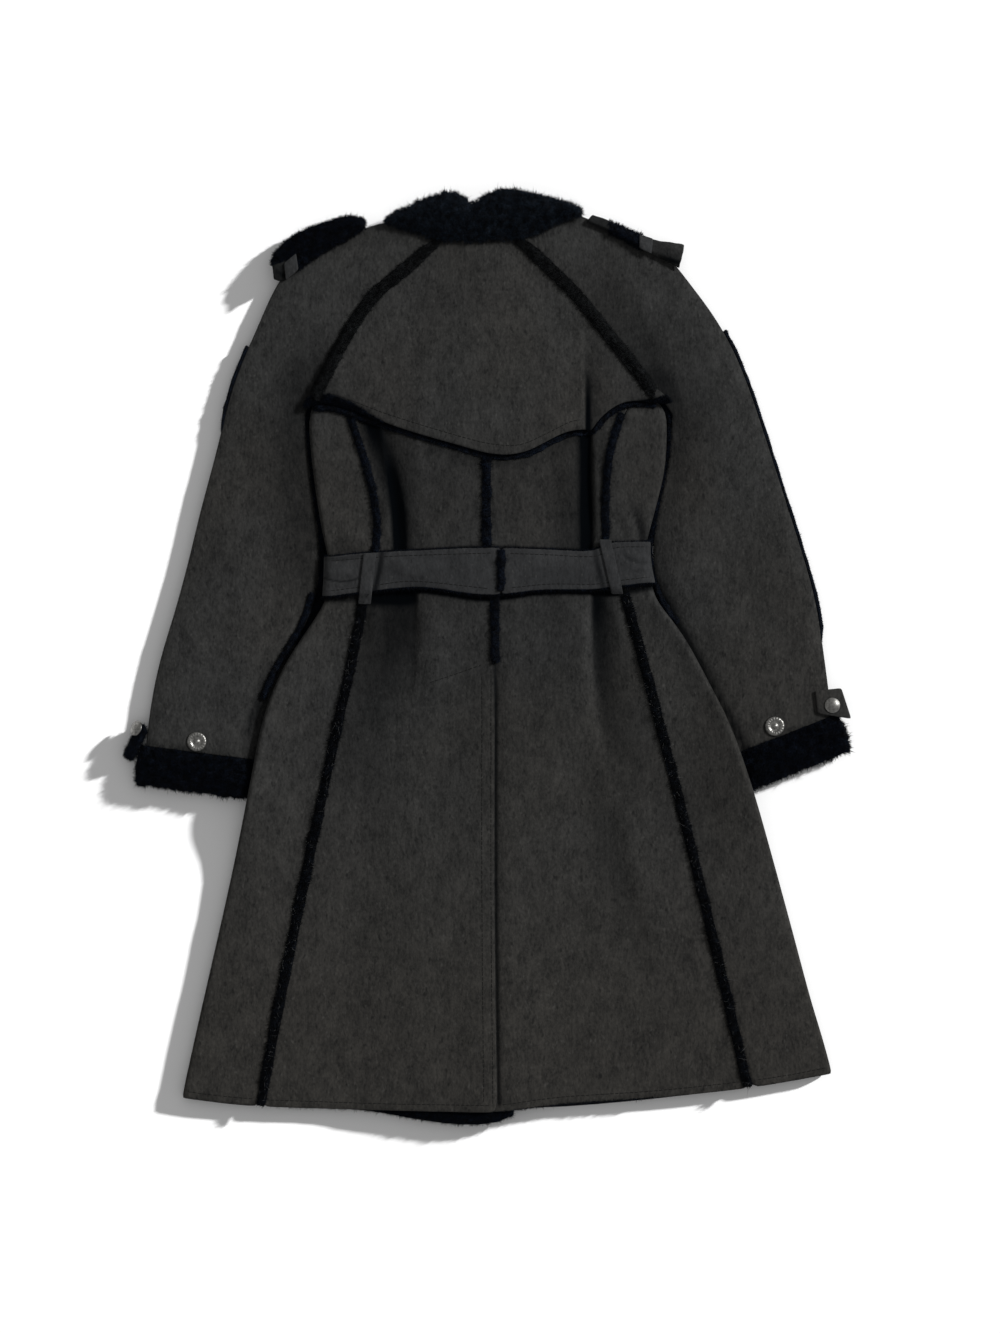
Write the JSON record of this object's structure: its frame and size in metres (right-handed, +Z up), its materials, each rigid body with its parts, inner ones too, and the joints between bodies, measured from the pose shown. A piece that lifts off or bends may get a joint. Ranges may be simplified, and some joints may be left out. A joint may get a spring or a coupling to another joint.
{
  "type": "trench coat",
  "caption": "Belted knee-length trench coat in dark bonded shearling with raw fur seams, storm-flap yoke and raglan sleeves, laid flat with its back up.",
  "frame": {"origin": "middle of the coat's outline, on the surface it lies on", "axes": "+X to the right of the back as seen from above, +Y from the hem to the collar, +Z up from the surface"},
  "size_m": [0.7994, 1.0312, 0.032],
  "materials": {
    "cloth": "matte brushed face with a fine woven fleck",
    "fur": "short black pile, matte with a faint cool sheen",
    "metal": "dull nickel plate"
  },
  "bodies": {
    "root": {"front_left": "cloth", "front_right": "cloth", "side_left": "cloth", "side_right": "cloth", "back_left": "cloth", "back_right": "cloth", "yoke": "cloth", "sleeve_front_left": "cloth", "sleeve_front_right": "cloth", "sleeve_back_left": "cloth", "sleeve_back_right": "cloth", "belt_left": "cloth", "belt_right": "cloth", "belt_loop_left": "cloth", "belt_loop_right": "cloth", "epaulette_right": "cloth", "epaulette_keeper_left": "cloth", "epaulette_keeper_right": "cloth", "cuff_strap_left": "cloth", "cuff_strap_right": "cloth", "collar_stand": "cloth", "collar_front": "cloth", "collar_fall": "fur", "cuff_left": "fur", "cuff_right": "fur", "epaulette_left": "fur", "yoke_trim": "fur", "edge_welt_left": "fur", "edge_welt_right": "fur", "raglan_welt_left": "fur", "raglan_welt_right": "fur", "princess_upper_welt_left": "fur", "princess_upper_welt_right": "fur", "princess_lower_welt_left": "fur", "princess_lower_welt_right": "fur", "back_upper_welt": "fur", "back_lower_welt": "fur", "belt_welt": "fur", "underarm_welt_left": "fur", "underarm_welt_right": "fur", "ring_snap_left": "metal", "ring_snap_right": "metal", "strap_snap_left": "metal", "strap_snap_right": "metal"}
  },
  "joints": []
}
